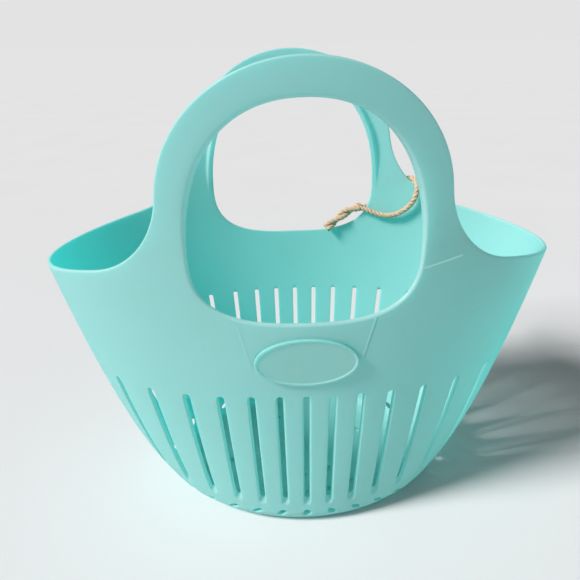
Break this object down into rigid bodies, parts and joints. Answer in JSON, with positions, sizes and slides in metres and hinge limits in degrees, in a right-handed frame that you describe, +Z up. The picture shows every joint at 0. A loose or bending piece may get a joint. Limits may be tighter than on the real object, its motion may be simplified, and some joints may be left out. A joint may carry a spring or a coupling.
{
  "type": "garden colander basket",
  "caption": "Oval flexible-plastic harvest basket with slotted colander walls, a drained floor, two loop handles that flex inwards, a bare name plate and a jute twine tie.",
  "frame": {"origin": "middle of the base, on the surface the basket stands on", "axes": "+X along the basket to its right tip, +Y to the rear handle, +Z up; the name plate faces -Y"},
  "size_m": [0.33, 0.1916, 0.297],
  "materials": {
    "moulding": "satin flexible polyethylene, mint",
    "twine": "three-ply jute twine"
  },
  "bodies": {
    "basket": {"base_floor": "moulding", "slotted_wall": "moulding", "upper_wall": "moulding", "name_plate": "moulding", "twine_loop": "twine", "twine_knot": "twine", "twine_tail_front": "twine", "twine_tail_back": "twine"},
    "front_handle": {"front_handle": "moulding"},
    "back_handle": {"back_handle": "moulding"}
  },
  "joints": [
    {"name": "front_handle_flex", "type": "hinge", "parent": "basket", "child": "front_handle", "pos_m": [0, -0.08017, 0.216], "axis": [-1, 0, 0], "range_deg": [-15, 40], "stiffness_Nm_per_rad": 0.35},
    {"name": "back_handle_flex", "type": "hinge", "parent": "basket", "child": "back_handle", "pos_m": [0, 0.08017, 0.216], "axis": [1, 0, 0], "range_deg": [-15, 40], "stiffness_Nm_per_rad": 0.35}
  ]
}
